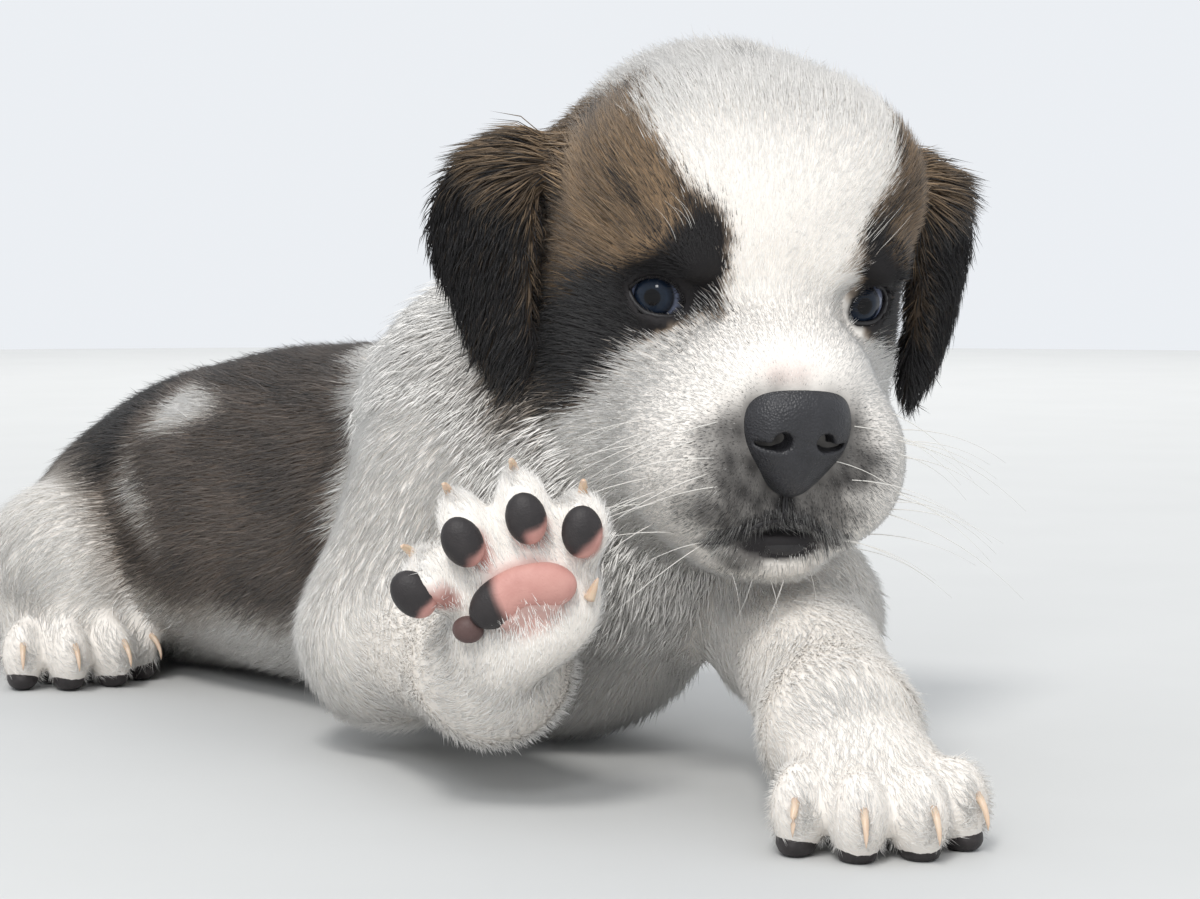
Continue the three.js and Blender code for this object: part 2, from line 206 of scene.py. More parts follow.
body = join(
    26,
    ball((0, 14, 51), (47, 46, 52)),
    ball((0, 75, 51), (52, 60, 52)),
    ball((-4, 135, 49), (53, 58, 50)),
    ball((-10, 188, 43), (47, 46, 46)),
    ball((-16, 226, 34), (36, 34, 34)),
)
neck = join(
    20,
    ball((1, 18, 88), (50, 44, 34)),
    limb((4, 14, 84), (15, -6, 112), 42, 38),
    ball((-2, -16, 66), (40, 30, 36)),
)
head = nearby(in_head(face), HEAD_CENTRE, 125)
trunk = join(16, join(22, body, neck), head)

LEGS = {
    "foreleg_right": (((-30, 14, 66), (-46, 24, 30), (-62, -46, 32)), (31, 24, 20, 18)),
    "foreleg_left": (((28, 4, 72), (28, -40, 36), (-10, -106, 20)), (30, 22, 20, 17.5)),
    "hindleg_right": (((-28, 206, 38), (-58, 186, 32), (-60, 234, 16)), (32, 27, 19, 14)),
    "hindleg_left": (((8, 208, 38), (42, 190, 32), (44, 238, 16)), (32, 27, 19, 14)),
}
TAIL = (
    ((-17, 240, 42), (-14, 270, 22), 21, 16),
    ((-14, 270, 22), (0, 302, 14), 16, 14),
    ((0, 302, 14), (30, 328, 10), 14, 9),
)
tail = join(12, *[limb(*bar) for bar in TAIL])

# A paw in its own frame: toes towards -y and pads down
TOES = ((-16.5, -6, 9, -20), (-6.2, -13.5, 10.5, -6), (6.2, -13.5, 10.5, 6), (16.5, -6, 9, 20))
PAD_SINK = -8.5
toe_pads = [
    ball((x * PAD_SPREAD, y - 1, PAD_SINK), (4.2, 5.6, 3.6), (0, 0, spread))
    for x, y, _, spread in TOES
]
palm = join(3, ball((0, 1, -9), (6, 5, 3.6)), *pair((5, 4, -9), (4.6, 4.6, 3.4)))
paw_form = join(
    2,
    join(
        5,
        ball((0, 5, 2), (17.5, 17, 12.5)),
        *[ball((x, y, -0.5), (7, long, 9.5), (0, 0, spread)) for x, y, long, spread in TOES],
    ),
    palm,
    *toe_pads,
)
PAWS = {
    "forepaw_right": ((-71, -71, 54), (-84, -20, -35), "foreleg_right", (-69, -60, 38)),
    "forepaw_left": ((-20, -128, 12), (4, 0, -26), "foreleg_left", (-15, -118, 14)),
    "hindpaw_right": ((-64, 174, 12), (0, 0, -4), "hindleg_right", (-62, 190, 13)),
    "hindpaw_left": ((48, 176, 12), (0, 0, 4), "hindleg_left", (46, 192, 13)),
}
BARS = {}
feet = {}
limb_forms = []
deep_toes = [ball((x, y + 0.5, -3), (7.2, long, 9.8), (0, 0, spread)) for x, y, long, spread in TOES]
floor_paw = join(2, paw_form, *deep_toes)
for paw, (origin, turn, leg, wrist) in PAWS.items():
    (top, middle, end), (r0, r1, r2, r3) = LEGS[leg]
    BARS[leg] = ((top, middle, r0, r1), (middle, end, r2, r3), (end, wrist, r3, 13))
    bars = join(10, join(14, limb(*BARS[leg][0]), limb(*BARS[leg][1])), limb(*BARS[leg][2]))
    feet[paw] = nearby(placed(paw_form if paw == "forepaw_right" else floor_paw, origin, turn), origin, 60)
    limb_forms.append(join(8, bars, feet[paw]))
ears = [ear_form(s) for s in SIDES]
whole = join(4, join(8, trunk, *limb_forms, tail), *ears)
PARTS = {
    "head": head,
    "ear_right": ears[0],
    "ear_left": ears[1],
    "neck": neck,
    "body": body,
    **{leg: join(10, *[limb(*bar) for bar in bars]) for leg, bars in BARS.items()},
    **feet,
    "tail": tail,
}
NAMES = list(PARTS)

# The frame's origin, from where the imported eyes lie
eye_boxes = [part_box(name) for name in ("eye_right", "eye_left")]
eyes_middle = np.mean([np.array(box, float).mean(axis=0) for box in eye_boxes], axis=0) * 1000
SHIFT = eyes_middle - from_head((0, EYE_PLACE[1], EYE_PLACE[2]))[0]


def metres(p):
    return (np.asarray(p, float) + SHIFT) / 1000


# How deep the coat is over the skin, and how long its tufts are, part by part
PART_KINDS = ("head", "ear", "neck", "body", "foreleg", "hindleg", "forepaw", "hindpaw", "tail")
DEPTH = dict(zip(PART_KINDS, (2.6, 1.2, 3.8, 3.6, 2.6, 2.8, 1.3, 1.4, 3.4)))
LENGTH = dict(zip(PART_KINDS, (7.5, 7, 12, 10, 7.5, 8.5, 4.2, 4.6, 12)))
DENSITY = dict(zip(PART_KINDS, (2.5, 2.1, 1.3, 1.45, 1.6, 1.2, 2.2, 1.4, 1.2)))


def by_part(table):
    return np.array([table[name.split("_")[0]] for name in NAMES], np.float32)


def shares(p, soft=5.0):
    d = np.stack([form(p) for form in PARTS.values()], axis=1)
    w = np.exp(-(d - d.min(axis=1, keepdims=True)) / soft)
    return w / w.sum(axis=1, keepdims=True)


def smooth(x, low, high):
    t = np.clip((x - low) / (high - low), 0, 1)
    return t * t * (3 - 2 * t)


# Fineness of the face: 1 round the nose, lips and eyes, 0 on the crown, cheeks and neck
def fineness(h):
    muzzle_near = smooth(-h[:, 1], 22, 50)
    eye_near = np.zeros(len(h))
    for s in SIDES:
        away = np.linalg.norm(h - np.array((s * 25, -36, -2)), axis=1)
        eye_near = np.maximum(eye_near, 0.8 * (1 - smooth(away, 8, 24)))
    return np.maximum(muzzle_near, eye_near)


def depth_of(p):
    h = local(p, HEAD_CENTRE, HEAD_TURN)
    w = shares(p)
    depth = w @ by_part(DEPTH)
    return depth - w[:, 0] * fineness(h) * 1.7


# Vertices and quads of a form's surface, found only in the blocks that it crosses
def nets(form, low, high, cell, block=5):
    low = np.array(low, np.float32)
    blocks = np.ceil((np.array(high) - low) / cell / block).astype(int) + 1
    centres = np.stack(np.meshgrid(*[np.arange(n) for n in blocks], indexing="ij"), -1).reshape(-1, 3)
    coarse = form((low + (centres + 0.5 - 0.5 / block) * block * cell).astype(np.float32)).reshape(blocks)
    reach = block * cell * 1.25 + 2

    def fine(grid):
        return grid.repeat(block, 0).repeat(block, 1).repeat(block, 2)

    value = fine(coarse).astype(np.float32)
    near = np.argwhere(fine(np.abs(coarse) < reach))
    for part in np.array_split(near, max(1, len(near) // 300000)):
        value[tuple(part.T)] = form((low + part * cell).astype(np.float32))
    value[0], value[-1], value[:, 0], value[:, -1] = 1, 1, 1, 1
    value[:, :, 0], value[:, :, -1] = 1, 1
    inside = value < 0
    count = sum(
        inside[a : a - 1 or None, b : b - 1 or None, c : c - 1 or None].astype(np.int8)
        for a in (0, 1) for b in (0, 1) for c in (0, 1)
    )
    cells = np.argwhere((count > 0) & (count < 8))
    corners = np.array([(n & 1, (n >> 1) & 1, n >> 2) for n in range(8)])
    v = np.stack([value[tuple((cells + corner).T)] for corner in corners], axis=1)
    total = np.zeros((len(cells), 3))
    crossings = np.zeros(len(cells))
    for m in range(8):
        for axis in range(3):
            n = m | (1 << axis)
            if n == m:
                continue
            cross = (v[:, m] < 0) != (v[:, n] < 0)
            t = np.where(cross, v[:, m] / np.where(cross, v[:, m] - v[:, n], 1), 0)
            spot = corners[m] + t[:, None] * (corners[n] - corners[m])
            total += spot * cross[:, None]
            crossings += cross
    points = low + (cells + total / crossings[:, None]) * cell
    ids = np.full(np.array(value.shape) - 1, -1)
    ids[tuple(cells.T)] = np.arange(len(cells))
    faces = []
    for axis in range(3):
        first = [slice(1, -1)] * 3
        second = [slice(1, -1)] * 3
        first[axis], second[axis] = slice(0, -1), slice(1, None)
        flips = np.argwhere(inside[tuple(first)] != inside[tuple(second)])
        flips += np.array([0 if a == axis else 1 for a in range(3)])
        u, w = np.eye(3, dtype=int)[(axis + 1) % 3], np.eye(3, dtype=int)[(axis + 2) % 3]
        ring = np.stack([ids[tuple((flips - off).T)] for off in (0 * u, u, u + w, w)], axis=1)
        turned = ~inside[tuple(flips.T)]
        ring[turned] = ring[turned][:, ::-1]
        faces.append(ring)
    return settle(form, points.astype(np.float32), cell), np.concatenate(faces)


def slope_of(form, p, d=None, e=0.15):
    d = form(p) if d is None else d
    step = np.eye(3, dtype=np.float32) * e
    return np.stack([(form(p + step[a]) - d) / e for a in range(3)], axis=1)


def settle(form, p, cell, rounds=2):
    for _ in range(rounds):
        d = form(p)
        g = slope_of(form, p, d)
        move = np.clip(d / np.maximum((g * g).sum(axis=1), 0.25), -cell / 2, cell / 2)
        p = (p - g * move[:, None]).astype(np.float32)
    return p


def in_scene(name, data):
    obj = bpy.data.objects.new(name, data)
    bpy.context.scene.collection.objects.link(obj)
    return obj


def mesh_of(name, points, faces, material, smooth_shade=True, masks=None, loops=None, totals=None, uv=None):
    me = bpy.data.meshes.new(name)
    if loops is None:
        loops = np.asarray(faces).ravel()
        totals = np.full(len(faces), np.asarray(faces).shape[1])
    me.vertices.add(len(points))
    me.vertices.foreach_set("co", metres(points).astype(np.float32).ravel())
    me.loops.add(len(loops))
    me.loops.foreach_set("vertex_index", loops.astype(np.int32))
    me.polygons.add(len(totals))
    starts = np.concatenate([[0], np.cumsum(totals)[:-1]])
    me.polygons.foreach_set("loop_start", starts.astype(np.int32))
    me.polygons.foreach_set("loop_total", np.asarray(totals).astype(np.int32))
    me.polygons.foreach_set("use_smooth", np.full(len(totals), smooth_shade))
    for key, values in (masks or {}).items():
        layer = me.attributes.new(key, "FLOAT", "POINT")
        layer.data.foreach_set("value", np.asarray(values, np.float32))
    if uv is not None:
        layer = me.uv_layers.new(name="OFBake")
        layer.data.foreach_set("uv", uv.astype(np.float32).ravel())
    me.update()
    me.validate()
    me.materials.append(material)
    obj = in_scene(name, me)
    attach(obj, "root")
    return obj


# Markings
def wobble(p, size, seed=0):
    waves = np.random.default_rng(seed).normal(size=(6, 3)) / size
    phase = np.random.default_rng(seed + 1).uniform(0, 6.28, 6)
    return np.sin(p @ waves.T + phase).sum(axis=1) / 3


BLAZE_HEIGHT = (-35, -24, -15, -7, -1.6, 2.5, 13.5, 24, 38, 46)
BLAZE_RIGHT = (43, 34, 28, 19, 10.5, 8.6, 11.7, 20, 32, 26)
BLAZE_LEFT = (47, 41, 33, 25, 20, 19, 19, 26, 32, 27)


# 1 inside an ellipsoid and 0 outside, soft between two shares of its radii
def zone(p, centre, radii, inner=0.6, outer=1.15, ripple=0.0):
    away = np.linalg.norm((p - np.array(centre, np.float32)) / np.array(radii, np.float32), axis=1)
    return 1 - smooth(away + ripple, inner, outer)


def stripe(p, a, b, radius, ripple=0.0):
    return 1 - smooth(limb(a, b, radius, radius)(p) + ripple, -2.5, 2.5)


def markings(p, jitter=0.0):
    if jitter:
        p = p + rng.normal(size=p.shape).astype(np.float32) * jitter
    h = local(p, HEAD_CENTRE, HEAD_TURN)
    w = shares(p, 2.5)
    part = dict(zip(NAMES, w.T))
    out = np.abs(h[:, 0])
    ear = np.clip(part["ear_right"] + part["ear_left"], 0, 1)
    on_head = part["head"] + ear + 0.3 * part["neck"]
    right, left = [np.interp(h[:, 2], BLAZE_HEIGHT, reach) for reach in (BLAZE_RIGHT, BLAZE_LEFT)]
    edge = np.where(h[:, 0] < 0, right, left)
    ray = h - np.array(FLOW_CENTRE, np.float32)
    hair = wobble(unit_rows(ray) * 60 + h * 0.05, 2.1, 51)
    past_edge = out - edge + wobble(p, 6) * 1.2 + hair * 1.6
    above = smooth(h[:, 2] + 0.25 * h[:, 1] + wobble(p, 5, 3) * 2, -45, -37)
    patch_back = np.interp(h[:, 2], (-40, -28, -14, 0), (-9, -5, 8, 16))
    before = 1 - smooth(h[:, 1] - patch_back + wobble(p, 8, 5) * 2, 0, 8)
    patch = on_head * smooth(past_edge, -1.2, 2.2) * above * before
    # Black along the blaze, round the eye and on the cheek; tan between them and the ear
    by_blaze = (1 - smooth(past_edge, 4, 11)) * (1 - 0.75 * smooth(h[:, 2] + 5 * hair, 12, 36))
    low = smooth(9 - (out - 31) * 1.15 - h[:, 2] + wobble(p, 7, 9) * 3, -5, 5)
    streaks = np.clip(0.28 + 0.42 * hair + 0.12 * wobble(p, 7, 15), 0, 0.9)
    patch_dark = np.clip(np.maximum(np.maximum(by_blaze, low), streaks), 0, 1)
    lower = smooth(-h[:, 2], 22, 40) * 0.28 * smooth(h[:, 1], -34, -12)
    patch_dark = patch_dark * (1 - lower * (1 - 0.6 * hair))
    ear_dark = 0.45 + 0.5 * smooth(-h[:, 2] + wobble(p, 8, 17) * 4, -33, -12)
    dark = np.maximum(patch * patch_dark, ear * ear_dark)
    tan = np.maximum(patch, ear)
    crown_fleck = zone(h, (0, -8, 55), (3.5, 10, 9), 0.4, 1.2, wobble(p, 3, 19) * 0.2)
    dark = np.maximum(dark, 0.6 * part["head"] * crown_fleck)
    # Speckled grey round the nose and down to the mouth, and flecks on the chin
    ripple = wobble(p, 2.3, 11) * 0.1 + wobble(p, 5, 12) * 0.03
    round_nose = zone(h, (-1, -64, -32), (23, 17, 20), 0.68, 1.15, ripple)
    by_mouth = zone(h, (-2, -62, -44), (23.5, 15, 11), 0.68, 1.15, ripple)
    halo = np.maximum(round_nose, by_mouth)
    grey = 0.84 + 0.1 * wobble(p, 1.9, 13) - 0.25 * smooth(h[:, 2], -22, -8)
    halo = part["head"] * halo * np.clip(grey, 0, 1)
    dark = np.maximum(dark, halo)
    dark = np.maximum(dark, part["head"] * 0.8 * zone(h, (-8, -57, -56.5), (7, 8, 4), 0.4, 1.2, ripple))
    # Sable back with a white spot and stripe before a dark rump; thighs, belly and tail tip stay white
    back = part["body"] + part["tail"]
    start = np.interp(p[:, 2], (30, 55, 80, 100), (38, 50, 50, 90))
    saddle = back * smooth(p[:, 1] - start + wobble(p, 12, 21) * 4, -4, 5)
    saddle = saddle * smooth(p[:, 2] + wobble(p, 12, 23) * 5, 22, 38) * smooth(318 - p[:, 1], 10, 26)
    rough = wobble(p, 7, 25)
    spot = np.maximum(
        zone(p, (-44, 145, 80), (16, 24, 9), 0.6, 1.1, rough * 0.2),
        stripe(p, (-52, 168, 72), (-59, 136, 42), 6, rough * 2),
    )
    rump = back * smooth(p[:, 1] + rough * 5, 168, 180) * smooth(p[:, 2], 40, 56)
    saddle = saddle * (1 - spot)
    tan = np.maximum(tan, saddle)
    brindle = wobble(p * np.array((1, 0.14, 0.8), np.float32), 2.6, 55)
    shade = 0.3 + 0.1 * wobble(p, 14, 27) + 0.16 * brindle + 0.25 * smooth(p[:, 2], 78, 96)
    dark = np.maximum(dark, saddle * np.clip(np.maximum(shade, 0.85 * rump), 0, 1))
    return {"tan": np.clip(tan, 0, 1), "dark": np.clip(dark, 0, 1), "saddle": np.clip(saddle, 0, 1)}


# Materials
def shader(name, roughness, **settings):
    material = bpy.data.materials.new(name)
    material.use_nodes = True
    bsdf = material.node_tree.nodes["Principled BSDF"]
    bsdf.inputs["Roughness"].default_value = roughness
    for key, value in settings.items():
        bsdf.inputs[key.replace("_", " ")].default_value = value
    return material, material.node_tree, bsdf


def mask(tree, name):
    node = tree.nodes.new("ShaderNodeAttribute")
    node.attribute_name = name
    return node.outputs["Fac"]


def feed(tree, socket, value):
    if isinstance(value, bpy.types.NodeSocket):
        tree.links.new(value, socket)
    else:
        socket.default_value = (*value, 1) if isinstance(value, tuple) else value


def mix(tree, factor, a, b, mode="MIX"):
    node = tree.nodes.new("ShaderNodeMix")
    node.data_type = "RGBA"
    node.blend_type = mode
    for key, value in (("Factor", factor), ("A", a), ("B", b)):
        feed(tree, node.inputs[key], value)
    return node.outputs["Result"]


def sums(tree, kind, a, b, c=0.0, clamp=False):
    node = tree.nodes.new("ShaderNodeMath")
    node.operation = kind
    node.use_clamp = clamp
    for socket, value in zip(node.inputs, (a, b, c)):
        feed(tree, socket, value)
    return node.outputs[0]


def noise(tree, scale, detail=3):
    node = tree.nodes.new("ShaderNodeTexNoise")
    node.inputs["Scale"].default_value = scale
    node.inputs["Detail"].default_value = detail
    where = tree.nodes.new("ShaderNodeTexCoord")
    tree.links.new(where.outputs["Object"], node.inputs["Vector"])
    return node.outputs["Fac"]


def bump(tree, bsdf, height, strength, distance):
    node = tree.nodes.new("ShaderNodeBump")
    node.inputs["Strength"].default_value = strength
    node.inputs["Distance"].default_value = distance
    tree.links.new(height, node.inputs["Height"])
    tree.links.new(node.outputs["Normal"], bsdf.inputs["Normal"])


def two_tones(tree, bsdf, scale, a, b, detail=3):
    tree.links.new(mix(tree, noise(tree, scale, detail), a, b), bsdf.inputs["Base Color"])


WHITE = (0.94, 0.92, 0.89)
CREAM = (0.86, 0.81, 0.73)
TAN = (0.45, 0.31, 0.185)
SABLE = (0.25, 0.195, 0.155)
BLACK = (0.012, 0.011, 0.012)


def coat_colour(tree, roots_only):
    warm = mix(tree, mask(tree, "saddle"), TAN, SABLE)
    patchy = noise(tree, 130, 4)
    base = mix(tree, sums(tree, "MULTIPLY", patchy, 0.16), WHITE, CREAM)
    colour = mix(tree, mask(tree, "tan"), base, warm)
    dark = mask(tree, "dark")
    if not roots_only:
        tips = sums(tree, "MULTIPLY", mask(tree, "along"), mask(tree, "tan"))
        dark = sums(tree, "MULTIPLY_ADD", tips, 0.25, dark)
        dark = sums(tree, "MULTIPLY_ADD", mask(tree, "tint"), mask(tree, "speckle"), dark, clamp=True)
    colour = mix(tree, dark, colour, BLACK)
    if not roots_only:
        light = sums(tree, "MULTIPLY_ADD", mask(tree, "tint"), 0.13, 0.93)
        light = sums(tree, "MULTIPLY_ADD", mask(tree, "along"), 0.12, light)
        grey = tree.nodes.new("ShaderNodeCombineColor")
        for socket in grey.inputs[:3]:
            tree.links.new(light, socket)
        colour = mix(tree, 1.0, colour, grey.outputs[0], "MULTIPLY")
    return colour


COAT_SHINE = {"Specular_IOR_Level": 0.3, "Sheen_Weight": 0.08, "Sheen_Roughness": 0.5}
coat_material, tree, bsdf = shader("coat", 0.6, **COAT_SHINE)
tree.links.new(coat_colour(tree, False), bsdf.inputs["Base Color"])

skin_material, tree, bsdf = shader("skin", 0.66, Specular_IOR_Level=0.25)
fur_under = coat_colour(tree, True)
under = mix(tree, 1.0, fur_under, (0.96, 0.93, 0.9), "MULTIPLY")
bare = mix(tree, noise(tree, 260, 5), (0.62, 0.34, 0.3), (0.42, 0.2, 0.17))
under = mix(tree, mask(tree, "bare"), under, bare)
under = mix(tree, mask(tree, "lip"), under, (0.018, 0.016, 0.017))
tree.links.new(under, bsdf.inputs["Base Color"])
bump(tree, bsdf, noise(tree, 1500, 4), 0.35, 0.0004)

nose_material, tree, bsdf = shader("nose_leather", 0.42, Specular_IOR_Level=0.5)
pebbles = tree.nodes.new("ShaderNodeTexVoronoi")
pebbles.inputs["Scale"].default_value = 1900
where = tree.nodes.new("ShaderNodeTexCoord")
tree.links.new(where.outputs["Object"], pebbles.inputs["Vector"])
two_tones(tree, bsdf, 400, (0.012, 0.012, 0.014), (0.032, 0.032, 0.037))
bump(tree, bsdf, pebbles.outputs["Distance"], 0.6, 0.0003)

pad_material, tree, bsdf = shader("pads", 0.5, Specular_IOR_Level=0.4)
pad_dark = mix(tree, noise(tree, 350), (0.016, 0.014, 0.015), (0.04, 0.034, 0.034))
pad_pink = mix(tree, noise(tree, 300, 4), (0.66, 0.36, 0.31), (0.5, 0.23, 0.2))
tree.links.new(mix(tree, mask(tree, "pink"), pad_dark, pad_pink), bsdf.inputs["Base Color"])
bump(tree, bsdf, noise(tree, 2200, 4), 0.5, 0.0003)

lip_material, tree, bsdf = shader("lips", 0.5, Specular_IOR_Level=0.5)
two_tones(tree, bsdf, 500, (0.007, 0.006, 0.007), (0.02, 0.018, 0.019))
bump(tree, bsdf, noise(tree, 1800), 0.4, 0.0003)

claw_material, tree, bsdf = shader("claws", 0.35, Specular_IOR_Level=0.5, Subsurface_Weight=0.15)
two_tones(tree, bsdf, 500, (0.68, 0.42, 0.27), (0.8, 0.62, 0.48))

whisker_material, tree, bsdf = shader("whiskers", 0.4)
two_tones(tree, bsdf, 60, (0.9, 0.88, 0.84), (0.75, 0.72, 0.66))

eye_material, tree, bsdf = shader("eyes", 0.04, Specular_IOR_Level=0.24)
rings = tree.nodes.new("ShaderNodeValToRGB")
stops = rings.color_ramp
RINGS = (
    (0.0, (0.002, 0.002, 0.003)), (0.21, (0.003, 0.003, 0.004)), (0.26, (0.012, 0.02, 0.034)),
    (0.4, (0.014, 0.024, 0.044)), (0.53, (0.008, 0.014, 0.027)), (0.6, (0.006, 0.008, 0.014)),
    (0.68, (0.16, 0.185, 0.27)), (1.0, (0.26, 0.27, 0.33)),
)
stops.elements[0].position, stops.elements[0].color = RINGS[0][0], (*RINGS[0][1], 1)
stops.elements[1].position, stops.elements[1].color = RINGS[-1][0], (*RINGS[-1][1], 1)
for place, colour in RINGS[1:-1]:
    stops.elements.new(place).color = (*colour, 1)
tree.links.new(mask(tree, "off_axis"), rings.inputs["Fac"])
iris_noise = sums(tree, "MULTIPLY", noise(tree, 1400, 5), 0.5)
streaks = mix(tree, iris_noise, rings.outputs["Color"], (0.0, 0.0, 0.0))
tree.links.new(streaks, bsdf.inputs["Base Color"])


def eye_frame(s):
    turn = turn_of(HEAD_TURN) @ turn_of((0, 0, s * EYE_TURN_OUT))
    centre = from_head((s * EYE_PLACE[0], EYE_PLACE[1], EYE_PLACE[2]))[0]
    return centre, turn


def in_eye(s, p):
    centre, turn = eye_frame(s)
    return (p - centre.astype(np.float32)) @ turn.astype(np.float32)


# The opening's edge: towards the nose and up, from the outer corner over the top
OPENING = (
    (-6.4, 1.0), (-4.5, 3.2), (-2, 4.4), (0.5, 4.6), (3, 3.7), (5.1, 1.7), (6.1, -1), (6.4, -3.4),
    (4.5, -4.1), (1.5, -4.3), (-1.8, -3.9), (-4.3, -2.4), (-6, -0.4),
)


def spline(a, b, c, d, u):
    return 0.5 * (2 * b + (c - a) * u + (2 * a - 5 * b + 4 * c - d) * u**2 + (3 * b - a - 3 * c + d) * u**3)


def closed_curve(points, count):
    pts = np.array(points, float)
    n = len(pts)
    t = np.linspace(0, n, count, endpoint=False)
    i = t.astype(int)
    u = (t - i)[:, None]
    return spline(pts[i - 1], pts[i], pts[(i + 1) % n], pts[(i + 2) % n], u)


EDGE = closed_curve(OPENING, 72)
EDGE_ANGLES = np.arctan2(EDGE[:, 1], EDGE[:, 0])
EDGE_ORDER = np.argsort(EDGE_ANGLES)
EDGE_RADII = np.hypot(EDGE[:, 0], EDGE[:, 1])


def eye_hole(p):
    holes = []
    for s in SIDES:
        e = in_eye(s, p)
        globe = np.linalg.norm(e, axis=1) - EYE_RADIUS - 0.2
        u, up = -s * e[:, 0], e[:, 2]
        angle = np.arctan2(up, u)
        reach = np.interp(angle, EDGE_ANGLES[EDGE_ORDER], EDGE_RADII[EDGE_ORDER], period=2 * math.pi)
        window = np.maximum(np.hypot(u, up) - reach - 0.1, e[:, 1] + 3)
        holes.append(np.minimum(globe, window))
    return np.minimum(*holes)


# Points on a sphere round the eye, over a curve in the opening's plane
def on_globe(s, curve, radius):
    centre, turn = eye_frame(s)
    y = -np.sqrt(np.maximum(radius**2 - (curve**2).sum(axis=1), 0.2))
    return np.stack([-s * curve[:, 0], y, curve[:, 1]], 1) @ turn.T + centre


def folds_of(s):
    upper = on_globe(s, EDGE[2:34:4] * 1.32 + np.array((0, 0.6)), 9.9)
    under = on_globe(s, EDGE[42:66:4] * 1.4 + np.array((0, -0.2)), 10.1)
    bars = []
    for path, r in ((upper, 0.9), (under, 0.55)):
        bars += [limb(a, b, r, r) for a, b in zip(path[:-1], path[1:])]
    return nearby(lambda p: np.min([bar(p) for bar in bars], axis=0), eye_frame(s)[0], 22)


folds = [folds_of(s) for s in SIDES]
BUMPS = ((-19.5, -40.5, 9, 5), (27, -39, 8, 4.5))
brow_bumps = [
    nearby(in_head(ball((x, y, z), (4, 3.5, high))), from_head((x, y, z))[0], 20) for x, y, z, high in BUMPS
]
chin = nearby(in_head(ball((-1, -49, -56.5), (14, 11, 6.2))), from_head((-1, -49, -56.5))[0], 35)


# The line of the lips, laid on the muzzle
LIP_LINE = (
    (0, -66, -39), (0, -65, -45.3), (5, -64, -47.2), (10, -61.5, -49.8), (14, -58.5, -52), (16.5, -56, -53),
)


def curve_through(points, count):
    pts = np.array([points[0], *points, points[-1]], float)
    t = np.linspace(0, len(points) - 1 - 1e-6, count)
    i = t.astype(int)
    u = (t - i)[:, None]
    return spline(pts[i], pts[i + 1], pts[i + 2], pts[i + 3], u)


def skin_base(p):
    d = whole(p) + depth_of(p)
    for s in SIDES:
        lid = np.linalg.norm(in_eye(s, p), axis=1) - LID_RADIUS
        d = blend(d, lid, 2.5)
    for fold in folds:
        d = blend(d, fold(p), 1.6)
    for bump_form in brow_bumps:
        d = blend(d, bump_form(p), 4)
    return blend(d, chin(p), 6)


lip_paths = []
for s in SIDES:
    line = from_head([(s * x, y, z) for x, y, z in LIP_LINE]).astype(np.float32)
    lip_paths.append(settle(skin_base, curve_through(line, 40).astype(np.float32), 8, 4))
mouth = in_head(ball((0, -63, -48.6), (9, 7, 1.7)))
grooves = [limb(a, b, 0.8, 0.8) for path in lip_paths for a, b in zip(path[:-3:3], path[3::3])]
lip_groove = nearby(
    lambda p: np.minimum(np.min([groove(p) for groove in grooves], axis=0), mouth(p)),
    from_head((0, -55, -50))[0],
    45,
)


def skin_form(p):
    d = -blend(-skin_base(p), lip_groove(p), 1.2)
    d = np.maximum(d, -eye_hole(p))
    return np.maximum(d, -p[:, 2] + 0.4)


LOW = (-104, -172, -4)
HIGH = (92, 346, 184)
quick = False
skin_points, skin_faces = nets(skin_form, LOW, HIGH, QUICK_CELL if quick else SKIN_CELL)


def soles_near(p):
    near = np.full(len(p), 50.0, np.float32)
    for paw, soft in soles.items():
        q = local(p, *PAWS[paw][:2])
        for pad in soft:
            near = np.minimum(near, pad(q))
    return near


# Bare pink skin: in patches beside the toe pads and round the palm of the lifted paw
def bare_skin(p):
    origin, turn, _, _ = PAWS["forepaw_right"]
    q = local(p, origin, turn)
    near = 0.8 * zone(q, (0, 2, -9), (12, 9.5, 5), 0.7, 1.15)
    ripple = wobble(q, 2.5, 35) * 0.15
    for x, y, _, _ in TOES:
        near = np.maximum(near, zone(q, (x * PAD_SPREAD + 0.6, y + 3, -9), (5.6, 6.5, 5), 0.5, 1.05, ripple))
    h = local(p, HEAD_CENTRE, HEAD_TURN)
    return np.maximum(near, 0.22 * zone(h, (-3, -62, -12), (9, 7, 4)))


def lips_near(p):
    d = np.full(len(p), 50.0)
    for path in lip_paths:
        for point in path[::2]:
            d = np.minimum(d, np.linalg.norm(p - point, axis=1))
    return d


skin_head = local(skin_points, HEAD_CENTRE, HEAD_TURN)
lip_mask = 1 - smooth(lips_near(skin_points), 1.2, 2.4)
lip_mask = np.maximum(lip_mask, zone(skin_head, (0, -56, -52.3), (12, 12, 4.4), 0.8, 1.15))
for s in SIDES:
    lid_edge = np.linalg.norm(in_eye(s, skin_points), axis=1)
    lip_mask = np.maximum(lip_mask, 1 - smooth(lid_edge, 9.6, 11))
skin = mesh_of(
    "skin", skin_points, skin_faces, skin_material,
    masks={**markings(skin_points), "bare": bare_skin(skin_points), "lip": lip_mask},
)
FLESH = [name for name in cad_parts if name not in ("nose", "eye_left", "eye_right")]
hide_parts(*FLESH)

